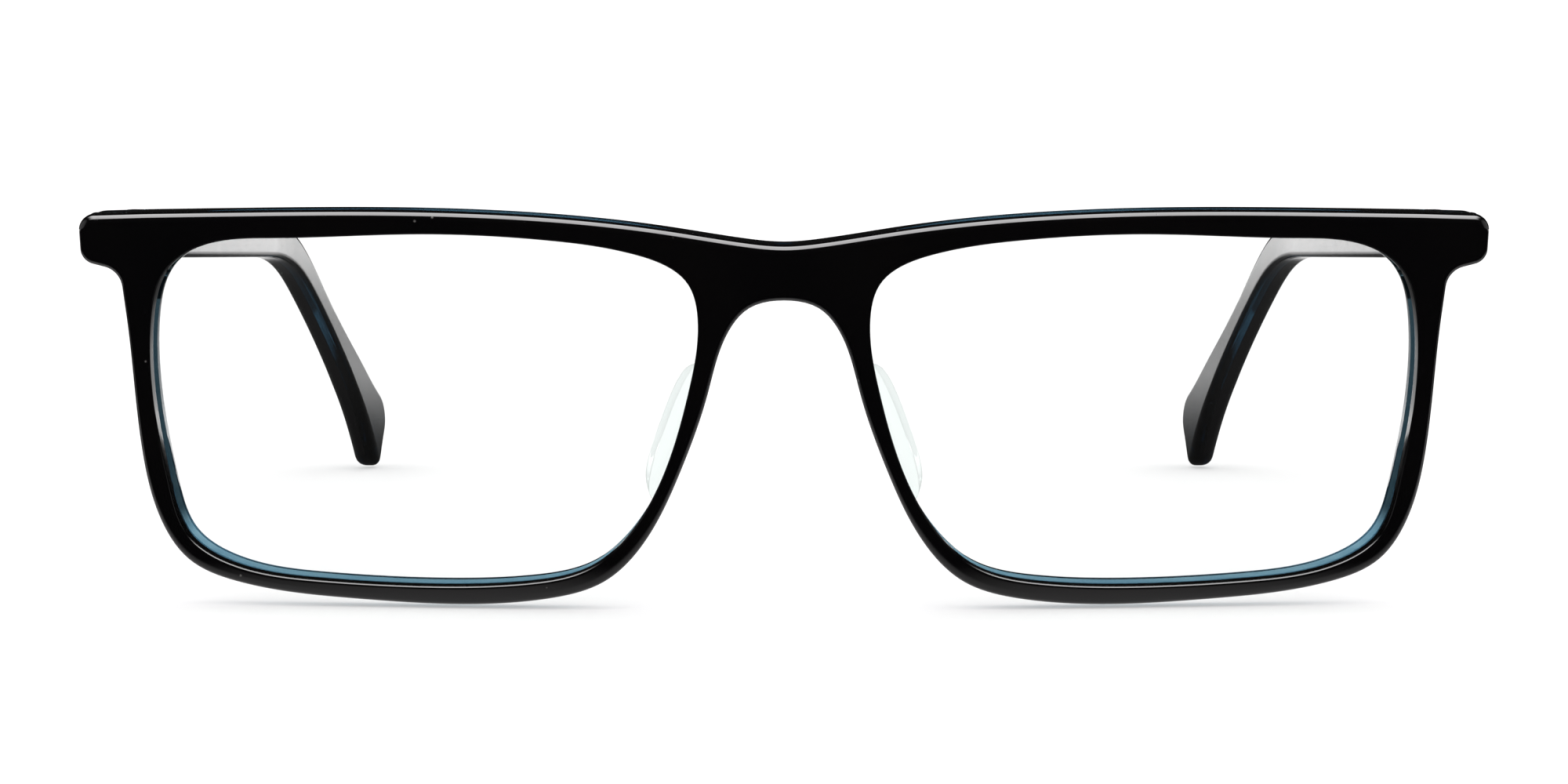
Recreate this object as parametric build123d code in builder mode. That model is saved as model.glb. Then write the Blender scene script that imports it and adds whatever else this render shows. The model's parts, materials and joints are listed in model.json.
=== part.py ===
from build123d import *

import os
from math import asin, cos, radians, sin

# Rectangular full-rim spectacles in two-layer cellulose acetate: a thin black sheet
# laminated onto a crystal blue-green one. The front leans forward at the top and is
# bowed round the face; each temple folds on a five-barrel hinge sunk in the acetate.
# Millimetres. X runs to the wearer's left, Y to the back of the head, Z up. The origin
# is on the table, in the middle of the box round the open spectacles.
# Pieces are modelled on the wearer's left (+X) and mirrored for the right.

# ---- Driving dimensions -------------------------------------------------------------
front_y = -70.6  # Y of the bridge's front face, at table height
front_z = 0.06  # height of the outline's base line over the table
front_lean = 6.0  # degrees that the top of the front leans forward
bow_radius = 400.0  # bow of the front round the face
front_thick = 4.0
black_thick = 1.2  # black sheet on the outside of the front

eye_centre = 35.45  # X of each lens centre, measured on the bowed face
lens_radius = 265.0  # base curve of the demonstration lenses
lens_thick = 1.5
lens_set_back = 0.9  # lens vertex behind the face of the front
groove_depth = 0.5  # how far the lens reaches into the rim
groove_play = 0.05

temple_converge = 3.3  # degrees that each temple runs inward
temple_droop = 2.26  # degrees that each temple drops from the hinge
temple_thick = 3.5
temple_black_thick = 2.0  # black sheet on the outside of the temple
temple_bend_start = 76.0  # where the straight run ends, from the hinge pin
tip_turn = 2.7  # degrees that the tip turns further inward
tip_turn_radius = 250.0
butt_gap = 0.08  # daylight between the front and an open temple

pin_x = 64.9  # hinge pin from the middle of the face
pin_back = 1.7  # pin behind the mitred face of the front
pin_inside = 1.5  # pin inside the temple's inner face
pin_height = 36.78
pin_y = front_y + 6.7
pin_radius = 0.6
pin_play = 0.03
barrel_radius = 1.3
barrel_height = 0.84
barrel_gap = 0.03
barrel_count = 5
screw_head_radius = 1.05
screw_head_height = 0.4
screw_slot_width = 0.3
leaf_thick = 0.8
leaf_height = 3.5
leaf_corner = 0.2
front_leaf_length = 4.4
front_leaf_middle = 0.5  # outward from the pin
front_anchors = (-0.7, 1.7)  # outward from the pin
temple_leaf_length = 9.0
temple_leaf_middle = 3.4  # rearward from the pin
temple_anchors = (2.6, 6.0)  # rearward from the pin
web_width = 2.2
anchor_radius = 0.45
anchor_depth = 0.5
step_inside = 2.6  # the sawn step in the front, from the pin towards the nose
step_outside = 8.0
step_below = 2.7
step_above = 5.3

toe_cut_run = 134.2  # where the slanting cut of the black sheet meets the inner face
toe_cut_height = -28.6
toe_cut_slant = (0.6, -0.62, 0.5)  # its normal: rearward, up, outward

# ---- Outlines -----------------------------------------------------------------------
# Half of the front seen square on: (distance from the middle, height up the front).
brow = [(0, 36.2), (3.8, 36.52), (11.5, 37.7), (22.9, 38.89), (38.3, 39.36), (54, 39.05), (64, 38.7)]
endpiece = [(64, 38.7), (70.15, 38.38), (69.95, 33.75), (66.0, 32.85), (65.5, 28.4)]
endpiece_radii = [1.7, 1.6, 2.2]
lower_rim = [
    (65.5, 28.4), (64.24, 14.06), (62.6, 7.6), (59.9, 3.7), (55, 1.57), (43.2, 0.15), (31.3, -0.18),
    (23.4, 0.54), (17.9, 2.32), (13.9, 6.3), (10.25, 13.52), (7.5, 21.4), (5.43, 27.65), (3.4, 29.95),
    (0, 30.72),
]
# One lens opening: (distance from the lens centre towards the temple, height).
eye_outline = [
    (27.85, 24.4), (27.4, 17.8), (26.25, 11.2), (24.5, 6.3), (20.0, 3.45), (11.5, 2.1), (0, 1.75),
    (-10.1, 2.25), (-16.2, 3.85), (-20.6, 7.95), (-24.2, 15.1), (-26.1, 21.9), (-27.0, 28.4),
    (-26.1, 32.3), (-20.4, 35.4), (-12.5, 36.6), (0, 37.1), (14.7, 36.5), (22.7, 35.4), (26.3, 32.6),
    (27.6, 28.4),
]
# The temple seen from the side: (run behind the pin, height over the pin).
temple_start = -pin_back + butt_gap
temple_top = [
    (temple_bend_start, 2.0), (88, 0.5), (104.8, -7.2), (125.4, -16.8), (134.4, -20.8), (138.7, -23.3),
    (139.5, -25.6), (137.9, -28.6),
]
temple_toe = [(137.9, -28.6), (135.5, -31.46), (132.6, -29.3)]
temple_under = [
    (132.6, -29.3), (129.0, -25.9), (115.9, -16.8), (99.7, -8.2), (90.0, -4.2), (temple_bend_start, -2.4),
]
temple_end_height = 2.3  # half the height of the temple where it meets the front
wire_line = [(temple_bend_start, -0.1), (90, -1.9), (101, -6.6), (116, -14.3), (130, -22.6)]
wire_width = 1.8
wire_thick = 1.0
wire_depth = 0.5  # black acetate over the core wire
wire_start = 9.0  # where the wire starts behind the pin

pad_middle = (10.6, 17.0)  # middle of the pad's foot on the front
pad_slant = 110.0  # degrees from the brow's direction, following the nasal rim
pad_length = 15.0
pad_width = 2.4
crest_length = 12.5
crest_width = 1.8
pad_foot_depth = front_thick - 0.2
pad_rise = 4.8
pad_splay = 1.3  # how far the pad's crest lies outside its foot

# ---- Planes -------------------------------------------------------------------------
lean = radians(front_lean)
up_front = Vector(0, -sin(lean), cos(lean))
into_front = Vector(0, cos(lean), sin(lean))
front_base = Vector(0, front_y, front_z)
front_plane = Plane(origin=front_base, x_dir=(1, 0, 0), z_dir=into_front * -1)
bow_plane = Plane(origin=front_base, x_dir=(1, 0, 0), z_dir=up_front)
front_reach = 60.0  # longer than any cut through the front

eye_angle = asin(eye_centre / bow_radius)
eye_middle = front_base + Vector(eye_centre, 0, 0) + into_front * (bow_radius * (1 - cos(eye_angle)))
eye_plane = Plane(
    origin=eye_middle,
    x_dir=Vector(cos(eye_angle), 0, 0) + into_front * sin(eye_angle),
    z_dir=Vector(sin(eye_angle), 0, 0) - into_front * cos(eye_angle),
)
eye_mid_height = 19.4  # height of the lens centre on its plane
outline_steps = 32  # points that carry the lens outline when it is widened

converge = radians(temple_converge)
droop = radians(temple_droop)
outward = Vector(cos(converge), sin(converge), 0)
rearward = Vector(-sin(converge) * cos(droop), cos(converge) * cos(droop), -sin(droop))
pin_up = outward.cross(rearward)
pin_point = Vector(pin_x, pin_y, pin_height)
hinge_plane = Plane(origin=pin_point, x_dir=outward, z_dir=pin_up)
side_plane = Plane(origin=pin_point, x_dir=rearward, z_dir=outward)
temple_face = pin_inside + temple_thick  # outer face of the temple from the pin
temple_reach = 60.0

barrel_pitch = barrel_height + barrel_gap
stack_height = barrel_count * barrel_height + (barrel_count - 1) * barrel_gap

os.makedirs("parts", exist_ok=True)


def keep(part, name):
    """Labels a finished piece and writes it."""
    part.label = name
    export_step(part, f"parts/{name}.step")


def keep_pair(part, name):
    """Writes the left piece and its mirror image for the right."""
    keep(part, f"{name}_left")
    keep(mirror(part, about=Plane.YZ), f"{name}_right")


# ---- Hinges -------------------------------------------------------------------------
def barrels(numbers, arm_x, arm_y):
    """The numbered barrels, counted from the bottom, each with the arm that joins it to its leaf."""
    with BuildPart() as stack:
        for number in numbers:
            with BuildSketch(hinge_plane.offset(number * barrel_pitch - stack_height / 2)):
                Circle(barrel_radius)
                with Locations((arm_x / 2, arm_y / 2)):
                    Rectangle(max(abs(arm_x), web_width), max(abs(arm_y), web_width))
                Circle(pin_radius + pin_play, mode=Mode.SUBTRACT)
            extrude(amount=barrel_height)
    return stack.part


front_seat = hinge_plane.from_local_coords((0, -pin_back, 0))
temple_seat = hinge_plane.from_local_coords((pin_inside, 0, 0))

with BuildPart() as front_hinge_leaf:
    add(barrels((0, 2, 4), 0, -pin_back))
    with BuildSketch(hinge_plane.offset(-leaf_height / 2)):
        with Locations((front_leaf_middle, -pin_back - leaf_thick / 2)):
            RectangleRounded(front_leaf_length, leaf_thick, leaf_corner)
    extrude(amount=leaf_height)
    with BuildSketch(Plane(origin=front_seat, x_dir=outward, z_dir=rearward * -1)):
        with Locations(*((place, 0) for place in front_anchors)):
            Circle(anchor_radius)
    extrude(amount=leaf_thick + anchor_depth)

with BuildPart() as temple_hinge_leaf:
    add(barrels((1, 3), pin_inside, 0))
    with BuildSketch(hinge_plane.offset(-leaf_height / 2)):
        with Locations((pin_inside + leaf_thick / 2, temple_leaf_middle)):
            RectangleRounded(leaf_thick, temple_leaf_length, leaf_corner)
    extrude(amount=leaf_height)
    with BuildSketch(Plane(origin=temple_seat, x_dir=rearward, z_dir=outward)):
        with Locations(*((place, 0) for place in temple_anchors)):
            Circle(anchor_radius)
    extrude(amount=leaf_thick + anchor_depth)

with BuildPart() as hinge_screw:
    with BuildSketch(hinge_plane.offset(-stack_height / 2)):
        Circle(pin_radius)
    extrude(amount=stack_height + barrel_gap)
    with BuildSketch(hinge_plane.offset(stack_height / 2 + barrel_gap)):
        Circle(screw_head_radius)
        Rectangle(3 * screw_head_radius, screw_slot_width, mode=Mode.SUBTRACT)
    extrude(amount=screw_head_height)


# ---- Front --------------------------------------------------------------------------
with BuildSketch() as front_outline:
    with BuildLine():
        top = Spline(*brow, tangents=((1, 0), (1, -0.04)))
        end = FilletPolyline(*endpiece, radius=endpiece_radii)
        under = Spline(*lower_rim, tangents=(end % 1, (-1, 0)))
        Line(under @ 1, top @ 0)
    make_face()
    mirror(about=Plane.YZ)

eye_edge = Edge.make_spline([Vector(*point) for point in eye_outline], periodic=True)


def eye_shape(grow):
    """The lens opening, moved outward by grow all round."""
    places = [number / outline_steps for number in range(outline_steps)]
    with BuildSketch() as shape:
        with BuildLine():
            Spline(*(eye_edge @ u + Vector(0, 0, grow).cross(eye_edge % u) for u in places), periodic=True)
        make_face()
    return shape.sketch


def bowed_sheet(near, far):
    """Everything that lies between two depths behind the bowed face of the front."""
    with BuildPart() as sheet:
        with BuildSketch(bow_plane.offset(-front_reach)):
            with Locations((0, bow_radius)):
                Circle(bow_radius - near)
                Circle(bow_radius - far, mode=Mode.SUBTRACT)
        extrude(amount=2 * front_reach)
    return sheet.part


def edged_lens(grow, play):
    """A meniscus lens edged to the rim's shape.

    grow widens it all round and play thickens it on both faces, which makes the rim's groove.
    """
    middle = eye_plane.from_local_coords((0, eye_mid_height, -lens_set_back - lens_radius))
    outline = eye_shape(grow)
    with BuildPart() as lens:
        with BuildSketch(eye_plane):
            add(outline)
        extrude(amount=front_reach / 4, both=True)
        with Locations(middle):
            Sphere(lens_radius + play, mode=Mode.INTERSECT)
            Sphere(lens_radius - lens_thick - play, mode=Mode.SUBTRACT)
    return lens.part


lens = edged_lens(groove_depth, 0)
groove = edged_lens(groove_depth + groove_play, groove_play)

eye_opening = eye_shape(0)
with BuildPart() as eye_hole:
    with BuildSketch(eye_plane):
        add(eye_opening)
    extrude(amount=front_reach / 4, both=True)

with BuildPart() as mitre:
    with BuildSketch(hinge_plane.offset(-step_below)):
        with Locations((-step_inside, -pin_back)):
            Rectangle(step_inside + step_outside, 2 * front_thick, align=(Align.MIN, Align.MIN))
    extrude(amount=step_below + step_above)


def front_layer(near, far, cutters):
    """One sheet of the front between two depths, less the cutters and their mirror images."""
    with BuildPart() as layer:
        with BuildSketch(front_plane):
            add(front_outline.sketch)
        extrude(amount=front_reach / 2, both=True)
        add(bowed_sheet(near, far), mode=Mode.INTERSECT)
        for cutter in cutters:
            add(cutter, mode=Mode.SUBTRACT)
            add(mirror(cutter, about=Plane.YZ, mode=Mode.PRIVATE), mode=Mode.SUBTRACT)
    return layer.part


front_outer = front_layer(0, black_thick, [eye_hole.part])
front_inner = front_layer(
    black_thick, front_thick, [eye_hole.part, groove, mitre.part, front_hinge_leaf.part]
)

# ---- Nose pads ----------------------------------------------------------------------
with BuildPart() as nose_pad:
    with BuildSketch(front_plane.offset(-pad_foot_depth)):
        with Locations(pad_middle):
            SlotOverall(pad_length, pad_width, rotation=pad_slant)
    with BuildSketch(front_plane.offset(-pad_foot_depth - pad_rise)):
        with Locations((pad_middle[0] + pad_splay, pad_middle[1])):
            SlotOverall(crest_length, crest_width, rotation=pad_slant)
    loft()
    add(bowed_sheet(front_thick, 2 * front_thick + pad_rise), mode=Mode.INTERSECT)

# ---- Temples ------------------------------------------------------------------------
with BuildSketch() as temple_side:
    with BuildLine():
        end = Line((temple_start, -temple_end_height), (temple_start, temple_end_height))
        top = Line(end @ 1, temple_top[0])
        heel = Spline(*temple_top, tangents=(top % 1, (-0.55, -0.85)))
        toe = Spline(*temple_toe, tangents=(heel % 1, (-0.7, 0.7)))
        under = Spline(*temple_under, tangents=(toe % 1, (-1, 0.0013)))
        Line(under @ 1, end @ 0)
    make_face()

with BuildSketch() as wire_side:
    with BuildLine():
        level = Line((wire_start, 0), wire_line[0])
        Spline(*wire_line, tangents=(level % 1, (0.85, -0.52)))
    trace(line_width=wire_width)


def temple_strip(near, far):
    """Plan of the temple between two depths from its outer face."""
    with BuildSketch() as strip:
        with BuildLine():
            ends = []
            for depth in (near, far):
                run = Line((temple_face - depth, temple_start), (temple_face - depth, temple_bend_start))
                turn = JernArc(run @ 1, run % 1, tip_turn_radius - depth, tip_turn)
                tail = PolarLine(turn @ 1, temple_reach, direction=turn % 1)
                ends.append((run @ 0, tail @ 1))
            Line(ends[0][0], ends[1][0])
            Line(ends[0][1], ends[1][1])
        make_face()
    return strip.sketch


def temple_slice(side, near, far):
    """The side outline cut from the sheet between two depths."""
    with BuildPart() as piece:
        with BuildSketch(side_plane):
            add(side.sketch)
        extrude(amount=temple_reach, both=True)
        strip = temple_strip(near, far)
        with BuildSketch(hinge_plane):
            add(strip)
        extrude(amount=temple_reach, both=True, mode=Mode.INTERSECT)
    return piece.part


core_wire = temple_slice(wire_side, wire_depth, wire_depth + wire_thick)

# The black sheet stops short of the toe at a slanting cut that shows the crystal.
toe_cut = Plane(
    origin=side_plane.from_local_coords((toe_cut_run, toe_cut_height, pin_inside)),
    x_dir=pin_up,
    z_dir=rearward * toe_cut_slant[0] + pin_up * toe_cut_slant[1] + outward * toe_cut_slant[2],
)
with BuildPart() as temple_outer:
    add(temple_slice(temple_side, 0, temple_black_thick))
    split(bisect_by=toe_cut, keep=Keep.BOTTOM)
    add(core_wire, mode=Mode.SUBTRACT)

with BuildPart() as temple_inner:
    add(temple_slice(temple_side, 0, temple_thick))
    for fitted in (temple_outer.part, core_wire, temple_hinge_leaf.part):
        add(fitted, mode=Mode.SUBTRACT)

# ---- Pieces -------------------------------------------------------------------------
keep(front_outer, "front_outer_layer")
keep(front_inner, "front_inner_layer")
keep_pair(lens, "lens")
keep_pair(nose_pad.part, "nose_pad")
keep_pair(front_hinge_leaf.part, "front_hinge_leaf")
keep_pair(hinge_screw.part, "hinge_screw")
keep_pair(temple_outer.part, "temple_outer_layer")
keep_pair(temple_inner.part, "temple_inner_layer")
keep_pair(core_wire, "temple_core_wire")
keep_pair(temple_hinge_leaf.part, "temple_hinge_leaf")
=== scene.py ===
# %% [markdown]
# # A pair of rectangular acetate spectacles
# The frame is cut from two sheets of cellulose acetate fused together: a thin black one on the
# outside and a crystal blue-green one behind it. Each cell below makes one real piece round the
# CAD model, which already holds the sizes, the hinges and the way the temples fold. Everything is
# worked out in millimetres and written to Blender in metres.

import json
from math import asin, atan2, cos, pi, radians, sin, sqrt, tan

import bmesh
import bpy
import numpy as np
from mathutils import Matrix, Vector, geometry

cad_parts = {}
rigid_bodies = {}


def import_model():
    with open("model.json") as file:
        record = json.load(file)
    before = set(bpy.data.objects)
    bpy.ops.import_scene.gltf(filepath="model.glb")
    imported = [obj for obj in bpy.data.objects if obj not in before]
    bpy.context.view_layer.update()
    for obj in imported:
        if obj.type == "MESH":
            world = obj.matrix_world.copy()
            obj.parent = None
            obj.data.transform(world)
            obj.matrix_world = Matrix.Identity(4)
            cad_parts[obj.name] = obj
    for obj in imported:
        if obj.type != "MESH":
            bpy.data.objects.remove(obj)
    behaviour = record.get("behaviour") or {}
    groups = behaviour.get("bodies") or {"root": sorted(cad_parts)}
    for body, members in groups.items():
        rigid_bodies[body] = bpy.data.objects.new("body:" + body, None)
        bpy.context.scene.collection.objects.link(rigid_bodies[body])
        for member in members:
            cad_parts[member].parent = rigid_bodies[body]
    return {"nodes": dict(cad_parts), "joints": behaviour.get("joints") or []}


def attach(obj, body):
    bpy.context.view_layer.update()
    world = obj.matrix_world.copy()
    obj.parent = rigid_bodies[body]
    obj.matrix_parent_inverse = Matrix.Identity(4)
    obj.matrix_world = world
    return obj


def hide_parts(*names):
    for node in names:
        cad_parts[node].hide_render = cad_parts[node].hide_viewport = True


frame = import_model()
for leftover in [o for o in bpy.data.objects if o.name in ("Cube", "Light", "Camera")]:
    bpy.data.objects.remove(leftover)
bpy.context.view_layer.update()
joints = {joint["name"]: joint for joint in frame["joints"]}
MM = 0.001
print("CAD nodes:", sorted(frame["nodes"]))

# %% [markdown]
# ## Where things are
# The hinge pin of the wearer's left temple is the reference point of the whole frame, and the CAD
# record gives it. The front leans forward at the top and is bowed round the face, so a point on it
# is named by three plain numbers: across, up the front, and depth behind the bowed face. Two small
# functions turn those, and the temple's own numbers, into places in the room. That keeps every
# later cell flat and easy to read.

# %% Reference directions and the two mappings
pin = np.array(joints["left_temple_hinge"]["pos_m"]) / MM
pin_up = np.array(joints["left_temple_hinge"]["axis"])
pin_behind_front = 6.7
LEAN = radians(6.0)
BOW = 400.0
FRONT_THICK = 4.0
BLACK_THICK = 1.2
FUSED = 0.03  # how deep the two sheets reach into each other, so that no air shows between them

up_front = np.array([0, -sin(LEAN), cos(LEAN)])
into_front = np.array([0, cos(LEAN), sin(LEAN)])
front_base = np.array([0, pin[1] - pin_behind_front, 0.06])

CONVERGE = radians(3.3)
outward = np.array([cos(CONVERGE), sin(CONVERGE), 0])
outward /= np.linalg.norm(outward)
rearward = np.cross(pin_up, outward)
TEMPLE_THICK = 3.5
TEMPLE_BLACK = 2.0
PIN_INSIDE = 1.5
PIN_BACK = 1.7
BUTT_GAP = 0.08
TEMPLE_FACE = PIN_INSIDE + TEMPLE_THICK
BEND_START = 76.0
TIP_TURN = radians(2.7)
TIP_RADIUS = 250.0


def on_front(across, up, depth):
    """Places in the room for points on the front, at a depth behind its bowed face."""
    across, up, depth = np.broadcast_arrays(across, up, depth)
    back = BOW - np.sqrt((BOW - depth) ** 2 - across**2)
    return front_base + across[:, None] * [1, 0, 0] + up[:, None] * up_front + back[:, None] * into_front


def turned_in(run):
    """How far the temple's outer face has turned inward after a run behind the pin."""
    past = np.clip(run - BEND_START, 0, TIP_RADIUS * sin(TIP_TURN))
    arc = TIP_RADIUS - np.sqrt(TIP_RADIUS**2 - past**2)
    return arc + np.clip(run - BEND_START - TIP_RADIUS * sin(TIP_TURN), 0, None) * tan(TIP_TURN)


def on_temple(run, height, depth):
    """Places in the room for points on the left temple, at a depth behind its outer face."""
    run, height, depth = np.broadcast_arrays(run, height, depth)
    side = TEMPLE_FACE - turned_in(run) - depth
    return pin + side[:, None] * outward + run[:, None] * rearward + height[:, None] * pin_up


print("pin at", pin.round(2), "front base at", front_base.round(2))

# %% [markdown]
# ## Drawing the outlines
# A maker draws an acetate front with a few long sweeping curves and small corner radii. One helper
# draws the smooth curve through a few points, with no break in its curvature, which is what makes
# the reflections on a polished edge run clean. Another rounds the corners of a run of straight
# lines, for the end pieces.

# %% Curve helpers
def sweep_through(points, ends=None, step=0.7):
    """A smooth curve through the points. ends are its two end directions; None closes the curve."""
    knots = np.array(points, float)
    closed = ends is None
    if closed:
        knots = np.vstack([knots, knots[:1]])
    spans = np.diff(knots, axis=0)
    size = np.linalg.norm(spans, axis=1)
    count = len(knots)
    rows, right = np.zeros((count, count)), np.zeros((count, 2))
    for i in range(count):
        before, after = (i - 1) % (count - 1), i % (count - 1)
        if closed or 0 < i < count - 1:
            rows[i, before] += 1 / size[before]
            rows[i, i] += 2 / size[before] + 2 / size[after]
            rows[i, after + 1] += 1 / size[after]
            right[i] = 3 * (spans[before] / size[before] ** 2 + spans[after] / size[after] ** 2)
        else:
            rows[i, i] = 1
            right[i] = np.array(ends[0 if i == 0 else 1], float)
            right[i] /= np.linalg.norm(right[i])
    slopes = np.linalg.solve(rows, right)
    line = []
    for i in range(count - 1):
        t = np.linspace(0, 1, max(2, int(size[i] / step) + 1), endpoint=False)[:, None]
        a, b = 2 * t**3 - 3 * t**2 + 1, t**3 - 2 * t**2 + t
        c, d = 3 * t**2 - 2 * t**3, t**3 - t**2
        line.append(a * knots[i] + b * size[i] * slopes[i] + c * knots[i + 1] + d * size[i] * slopes[i + 1])
    return np.vstack(line if closed else line + [knots[-1:]])


def rounded_corners(points, radii, turns=10):
    """Straight lines through the points, with an arc of the given radius at each inner one."""
    points = [np.array(point, float) for point in points]
    line = [points[0]]
    for before, corner, after, radius in zip(points, points[1:], points[2:], radii):
        to_before = (before - corner) / np.linalg.norm(before - corner)
        to_after = (after - corner) / np.linalg.norm(after - corner)
        half = np.arccos(np.clip(to_before @ to_after, -1, 1)) / 2
        middle = (to_before + to_after) / np.linalg.norm(to_before + to_after)
        centre = corner + middle * radius / sin(half)
        start = corner + to_before * radius / tan(half) - centre
        end = corner + to_after * radius / tan(half) - centre
        swing = (atan2(end[1], end[0]) - atan2(start[1], start[0]) + pi) % (2 * pi) - pi
        for t in np.linspace(0, 1, turns + 1):
            turn = swing * t
            line.append(centre + [start[0] * cos(turn) - start[1] * sin(turn),
                                  start[0] * sin(turn) + start[1] * cos(turn)])
    return np.array(line + [points[-1]])


def moved_in(loop, amount):
    """The closed loop moved square to itself, to the left of its direction of travel."""
    ahead = np.roll(loop, -1, 0) - loop
    ahead /= np.maximum(np.linalg.norm(ahead, axis=1), 1e-9)[:, None]
    along = ahead + np.roll(ahead, 1, 0)
    along /= np.maximum(np.linalg.norm(along, axis=1), 1e-9)[:, None]
    moved = loop + amount * np.column_stack([-along[:, 1], along[:, 0]])
    # A corner tighter than the move folds over itself: its points are drawn together.
    for gap in range(14, 1, -1):
        step, other = np.roll(moved, -1, 0) - moved, np.roll(moved, -gap - 1, 0) - np.roll(moved, -gap, 0)
        across = step[:, 0] * other[:, 1] - step[:, 1] * other[:, 0]
        across[np.abs(across) < 1e-12] = np.inf
        apart = np.roll(moved, -gap, 0) - moved
        t = (apart[:, 0] * other[:, 1] - apart[:, 1] * other[:, 0]) / across
        u = (apart[:, 0] * step[:, 1] - apart[:, 1] * step[:, 0]) / across
        for i in np.flatnonzero((t > 0) & (t < 1) & (u > 0) & (u < 1)):
            moved[np.arange(i + 1, i + gap + 1) % len(moved)] = moved[i] + t[i] * step[i]
    return moved


# %% The outline of the front
brow = [(0, 36.2), (3.8, 36.52), (11.5, 37.7), (22.9, 38.89), (38.3, 39.36), (54, 39.05), (64, 38.7)]
endpiece = [(64, 38.7), (70.15, 38.38), (69.95, 33.75), (66.0, 32.85), (65.5, 28.4)]
lower_rim = [
    (65.5, 28.4), (64.24, 14.06), (62.6, 7.6), (59.9, 3.7), (55, 1.57), (43.2, 0.15), (31.3, -0.18),
    (23.4, 0.54), (17.9, 2.32), (13.9, 6.3), (10.25, 13.52), (7.5, 21.4), (5.43, 27.65), (3.4, 29.95),
    (0, 30.72),
]


def front_outline(corner_radii):
    """The closed outline of the front, with the material on the left of its travel."""
    half = np.vstack([
        sweep_through(brow, ((1, 0), (1, -0.04)))[:-1],
        rounded_corners(endpiece, corner_radii)[1:-1],
        sweep_through(lower_rim, ((-0.112, -0.994), (-1, 0))),
    ])
    return np.vstack([half, half[::-1][1:-1] * [-1, 1]])[::-1]


front_loop = front_outline([1.7, 1.6, 2.2])
softer_loop = front_outline([2.5, 1.9, 2.2])  # the crystal sheet is tumbled rounder at its corners
print("front outline:", len(front_loop), "points,", round(float(np.ptp(front_loop[:, 0])), 1), "mm wide")

# %% The outline of a lens opening
EYE_ACROSS = 35.45
eye_turn = asin(EYE_ACROSS / BOW)
eye_points = [
    (27.85, 24.4), (27.4, 17.8), (26.25, 11.2), (24.5, 6.3), (20.0, 3.45), (11.5, 2.1), (0, 1.75),
    (-10.1, 2.25), (-16.2, 3.85), (-20.6, 7.95), (-24.2, 15.1), (-26.1, 21.9), (-27.0, 28.4),
    (-26.1, 32.3), (-20.4, 35.4), (-12.5, 36.6), (0, 37.1), (14.7, 36.5), (22.7, 35.4), (26.3, 32.6),
    (27.6, 28.4),
]
eye_loop = sweep_through(eye_points, step=0.6)
print("lens opening:", len(eye_loop), "points,", round(float(np.ptp(eye_loop[:, 0])), 1), "mm wide")

# %% [markdown]
# ## Building a rounded sheet
# A sheet of acetate with rounded edges could be a plane with a solidify and a bevel modifier, but a
# bevel gives uneven corners where the rim is narrow. Here each edge is built as a stack of rings:
# the first ring is a little in from the edge on one face, the next ones go round the rounding, and
# the last is on the other face. The two faces between the rings are filled with small even
# triangles, so that the bowed surface stays smooth.

# %% Sheet helpers
def inside(points, loop):
    """Which points lie inside the closed loop."""
    crossings = np.zeros(len(points), int)
    for (x1, y1), (x2, y2) in zip(loop, np.roll(loop, -1, 0)):
        spans = (y1 > points[:, 1]) != (y2 > points[:, 1])
        edge = x1 + (points[:, 1] - y1) * (x2 - x1) / ((y2 - y1) or 1e-12)
        crossings += spans & (points[:, 0] < edge)
    return crossings % 2 == 1


def filled(loops, spacing):
    """Triangles for the face inside the first loop and outside the others, with a grid of points."""
    outer, holes = loops[0], loops[1:]
    low, high = outer.min(0), outer.max(0)
    columns, rows = (np.arange(low[i], high[i], spacing) for i in (0, 1))
    grid = np.array([[x, y] for x in columns for y in rows])
    keep = inside(grid, moved_in(outer, spacing / 3))
    for hole in holes:
        keep &= ~inside(grid, moved_in(hole, spacing / 3))
    grid = grid[keep]
    points = np.vstack([*loops, grid])
    edges, start = [], 0
    for loop in loops:
        edges += [(start + i, start + (i + 1) % len(loop)) for i in range(len(loop))]
        start += len(loop)
    within_outline = 1
    out = geometry.delaunay_2d_cdt([Vector(p) for p in points], edges, [], within_outline, 1e-7)
    if not all(out[3]):
        print("an outline crosses itself")
    back = np.array([source[0] if source else 0 for source in out[3]])
    triangles = back[np.array([face for face in out[2]])]
    wanted = np.full(len(triangles), True)
    for hole in holes:
        wanted &= ~inside(points[triangles].mean(1), hole)
    return grid, triangles[wanted]


def rounding(radius, depth, away, turns=8):
    """(inset, depth) steps round an edge. away is 1 where the depth grows, -1 on the far face."""
    angles = np.linspace(0, pi / 2, turns + 1)
    steps = [(radius * (1 - sin(a)), depth + away * radius * (1 - cos(a))) for a in angles]
    return steps if away > 0 else steps[::-1]


def new_piece(name, points, faces):
    """A smooth-shaded mesh object from points in millimetres."""
    mesh = bpy.data.meshes.new(name)
    mesh.from_pydata([tuple(p) for p in np.asarray(points) * MM], [], [tuple(map(int, f)) for f in faces])
    mesh.update()
    piece = bpy.data.objects.new(name, mesh)
    bpy.context.scene.collection.objects.link(piece)
    return piece


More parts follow.
